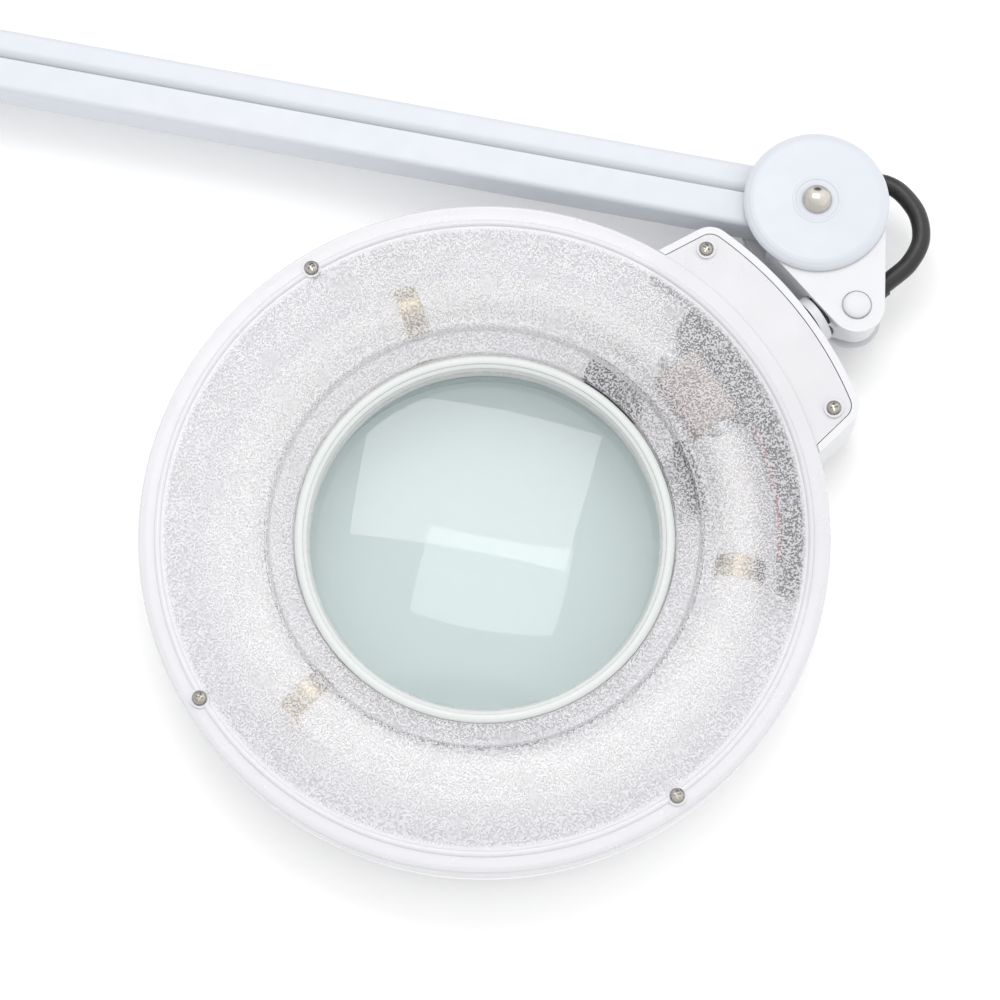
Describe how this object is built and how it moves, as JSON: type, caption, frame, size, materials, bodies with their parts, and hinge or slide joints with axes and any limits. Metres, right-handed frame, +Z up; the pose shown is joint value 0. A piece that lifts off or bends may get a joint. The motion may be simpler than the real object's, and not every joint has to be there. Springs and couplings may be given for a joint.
{
  "type": "magnifying lamp",
  "caption": "Bench magnifying lamp folded flat: round lens in a lit ring head on a sprung two-section parallelogram arm with a table clamp.",
  "frame": {"origin": "middle of the folded lamp's footprint, on the surface it lies on", "axes": "+X along the upper arm from the elbow to the head joint; +Z up out of the lens's lit side, parallel to every arm pivot; +Y across the arms towards the lower section and clamp"},
  "size_m": [0.573, 0.4702, 0.044],
  "materials": {
    "white_paint": "satin powder coat",
    "arm_paint": "satin cool white paint",
    "zinc_steel": "zinc plated",
    "nickel": "bright nickel plate",
    "clip_brass": "passivated spring metal",
    "black_plastic": "fine moulded",
    "black_rubber": "satin",
    "ballast_case": "dark enamel",
    "frosted_plastic": "pebbled frosted, translucent",
    "lens_glass": "polished",
    "tube_glass": "white coated inside",
    "nylon": "natural nylon"
  },
  "bodies": {
    "root": {"clamp_body": "white_paint"},
    "clamp_pad": {"clamp_pad": "black_rubber"},
    "clamp_screw": {"clamp_screw": "zinc_steel"},
    "base_bracket": {"base_bracket": "white_paint", "spigot": "zinc_steel", "base_disc_front": "arm_paint", "base_disc_back": "arm_paint", "base_bolt": "nickel", "base_pin_outer": "zinc_steel", "base_pin_inner": "zinc_steel"},
    "lower_outer": {"lower_arm_outer": "arm_paint", "lower_arm_lead": "black_rubber", "lead_grommet": "black_rubber"},
    "lower_inner": {"lower_arm_inner": "arm_paint", "lower_spring": "zinc_steel"},
    "elbow_bracket": {"elbow_bracket": "white_paint", "elbow_upper_disc_front": "arm_paint", "elbow_upper_disc_back": "arm_paint", "elbow_upper_bolt": "nickel", "elbow_upper_pin_outer": "zinc_steel", "elbow_upper_pin_inner": "zinc_steel", "elbow_lower_disc_front": "arm_paint", "elbow_lower_disc_back": "arm_paint", "elbow_lower_bolt": "nickel", "elbow_lower_pin_outer": "zinc_steel", "elbow_lower_pin_inner": "zinc_steel"},
    "upper_outer": {"upper_arm_outer": "arm_paint", "upper_arm_lead": "black_rubber"},
    "upper_inner": {"upper_arm_inner": "arm_paint", "upper_spring": "zinc_steel"},
    "head_bracket": {"head_bracket": "white_paint", "wrist_disc_front": "arm_paint", "wrist_disc_back": "arm_paint", "wrist_bolt": "nickel", "wrist_pin_outer": "zinc_steel", "wrist_pin_inner": "zinc_steel", "tilt_pin": "zinc_steel", "head_lead": "black_rubber", "lead_clip_arm": "black_rubber", "lead_clip_head": "black_rubber"},
    "head_stem": {"head_stem": "white_paint", "swivel_washer": "black_rubber", "stem_nut": "zinc_steel"},
    "head": {"head_housing": "white_paint", "diffuser": "frosted_plastic", "diffuser_screw_1": "nickel", "diffuser_screw_2": "nickel", "diffuser_screw_3": "nickel", "diffuser_screw_4": "nickel", "diffuser_screw_5": "nickel", "lens": "lens_glass", "lens_ring": "white_paint", "reflector": "white_paint", "circular_tube": "tube_glass", "tube_clip_1": "clip_brass", "tube_clip_2": "clip_brass", "tube_clip_3": "clip_brass", "ballast": "ballast_case", "switch_body": "black_plastic"},
    "switch_rocker": {"switch_rocker": "black_plastic"}
  },
  "joints": [
    {"name": "clamp_travel", "type": "slide", "parent": "root", "child": "clamp_pad", "axis": [0.9511, 0.309, 0], "range_m": [-0.02, 0.03]},
    {"name": "clamp_turn", "type": "hinge", "parent": "clamp_pad", "child": "clamp_screw", "pos_m": [0.22694, 0.18593, 0.022], "axis": [0.9511, 0.309, 0], "range_deg": [-1800.5, 2700.5]},
    {"name": "base_swivel", "type": "hinge", "parent": "root", "child": "base_bracket", "pos_m": [0.11947, 0.19307, 0.022], "axis": [0.9511, 0.309, 0], "continuous": true},
    {"name": "lower_arm", "type": "hinge", "parent": "base_bracket", "child": "lower_outer", "pos_m": [0.11281, 0.19962, 0.022], "axis": [0, 0, 1], "range_deg": [-10, 65]},
    {"name": "lower_link", "type": "hinge", "parent": "base_bracket", "child": "lower_inner", "pos_m": [0.12613, 0.18653, 0.022], "axis": [0, 0, 1], "range_deg": [-10.5, 65.5]},
    {"name": "elbow_level", "type": "hinge", "parent": "lower_outer", "child": "elbow_bracket", "pos_m": [-0.26761, 0.07601, 0.022], "axis": [0, 0, 1], "range_deg": [-65.5, 10.5]},
    {"name": "upper_arm", "type": "hinge", "parent": "elbow_bracket", "child": "upper_outer", "pos_m": [-0.24185, 0.018, 0.022], "axis": [0, 0, 1], "range_deg": [-100, 4]},
    {"name": "upper_link", "type": "hinge", "parent": "elbow_bracket", "child": "upper_inner", "pos_m": [-0.22755, 0.03, 0.022], "axis": [0, 0, 1], "range_deg": [-100.5, 4.5]},
    {"name": "wrist_level", "type": "hinge", "parent": "upper_outer", "child": "head_bracket", "pos_m": [0.15815, 0.018, 0.022], "axis": [0, 0, 1], "range_deg": [-4.5, 100.5]},
    {"name": "head_tilt", "type": "hinge", "parent": "head_bracket", "child": "head_stem", "pos_m": [0.1855, -0.0107, 0.022], "axis": [0, 0, 1], "range_deg": [0, 110]},
    {"name": "head_swivel", "type": "hinge", "parent": "head_stem", "child": "head", "pos_m": [0.0739, -0.1168, 0.022], "axis": [0.6947, 0.7193, 0], "range_deg": [-90, 90]},
    {"name": "switch_press", "type": "hinge", "parent": "head", "child": "switch_rocker", "pos_m": [0.17386, -0.04092, 0.0125], "axis": [-0.6756, -0.7373, 0], "range_deg": [0, 8]}
  ],
  "couplings": [
    {"joint": "clamp_turn", "follows": "clamp_travel", "rad_per_m": 1570.8},
    {"joint": "lower_link", "follows": "lower_arm", "ratio": 1},
    {"joint": "elbow_level", "follows": "lower_arm", "ratio": -1},
    {"joint": "upper_link", "follows": "upper_arm", "ratio": 1},
    {"joint": "wrist_level", "follows": "upper_arm", "ratio": -1}
  ]
}
